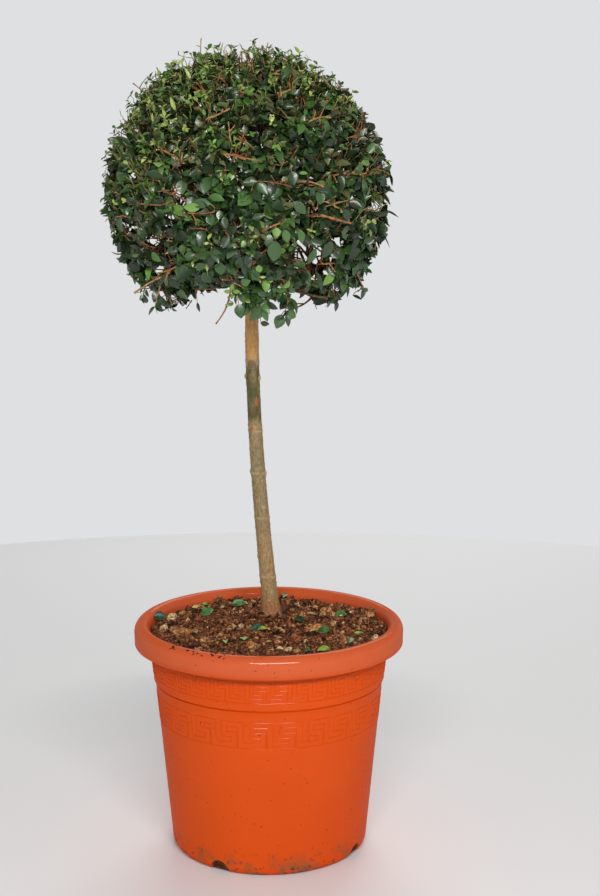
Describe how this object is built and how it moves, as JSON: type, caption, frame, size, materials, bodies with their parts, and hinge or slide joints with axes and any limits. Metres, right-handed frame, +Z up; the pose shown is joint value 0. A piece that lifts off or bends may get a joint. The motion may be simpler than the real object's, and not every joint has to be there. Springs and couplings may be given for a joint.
{
  "type": "standard topiary in a pot",
  "caption": "Clipped ball of small evergreen leaves on one bare leaning stem, planted in a round tapered plastic pot with a rolled rim.",
  "frame": {"origin": "centre of the pot's flat underside, where the pot stands on the ground", "axes": "+Z up along the pot's axis and the plant's height; front, as pictured, towards -Y; +X to the viewer's right"},
  "size_m": [0.2851, 0.3041, 0.7831],
  "materials": {
    "pot_plastic": "satin",
    "compost": "matte",
    "bark": "matte",
    "foliage": "satin"
  },
  "bodies": {
    "root": {"pot": "pot_plastic", "compost": "compost", "trunk": "bark", "bough_right": "bark", "bough_back_right": "bark", "bough_back": "bark", "bough_left": "bark", "bough_front_left": "bark", "bough_front": "bark", "foliage_right": "foliage", "foliage_back_right": "foliage", "foliage_back": "foliage", "foliage_left": "foliage", "foliage_front_left": "foliage", "foliage_front": "foliage", "foliage_top": "foliage"}
  },
  "joints": []
}
